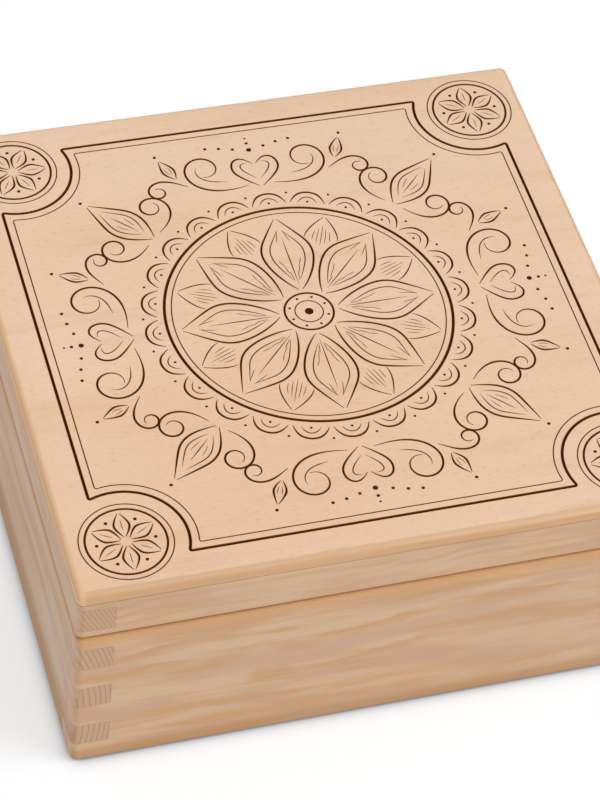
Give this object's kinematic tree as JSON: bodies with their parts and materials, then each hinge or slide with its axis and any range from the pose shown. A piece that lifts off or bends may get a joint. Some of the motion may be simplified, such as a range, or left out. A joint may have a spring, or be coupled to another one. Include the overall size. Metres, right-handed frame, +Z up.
{
  "type": "keepsake box",
  "caption": "Square finger-jointed pine box with a hinged lid, a plywood lid plate with a burnt ornament, and let-in brass butt hinges at the back.",
  "frame": {"origin": "centre of the underside, in the plane that the box stands on", "axes": "+Z up, -Y towards the front, +X to the right as seen from the front"},
  "size_m": [0.2, 0.201, 0.084],
  "materials": {
    "pine": "sanded, unvarnished",
    "birch_plywood": "sanded, unvarnished",
    "hinge_brass": "satin",
    "screw_brass": "satin"
  },
  "bodies": {
    "base": {"base_front_board": "pine", "base_back_board": "pine", "base_left_board": "pine", "base_right_board": "pine", "bottom_panel": "birch_plywood", "left_hinge_base_leaf": "hinge_brass", "left_hinge_pin": "hinge_brass", "left_hinge_base_screws": "screw_brass", "right_hinge_base_leaf": "hinge_brass", "right_hinge_pin": "hinge_brass", "right_hinge_base_screws": "screw_brass"},
    "lid": {"lid_front_rail": "pine", "lid_back_rail": "pine", "lid_left_rail": "pine", "lid_right_rail": "pine", "lid_top_plate": "birch_plywood", "left_hinge_lid_leaf": "hinge_brass", "left_hinge_lid_screws": "screw_brass", "right_hinge_lid_leaf": "hinge_brass", "right_hinge_lid_screws": "screw_brass"}
  },
  "joints": [
    {"name": "lid_hinge", "type": "hinge", "parent": "base", "child": "lid", "pos_m": [0, 0.099, 0.06465], "axis": [-1, 0, 0], "range_deg": [0, 104]}
  ]
}
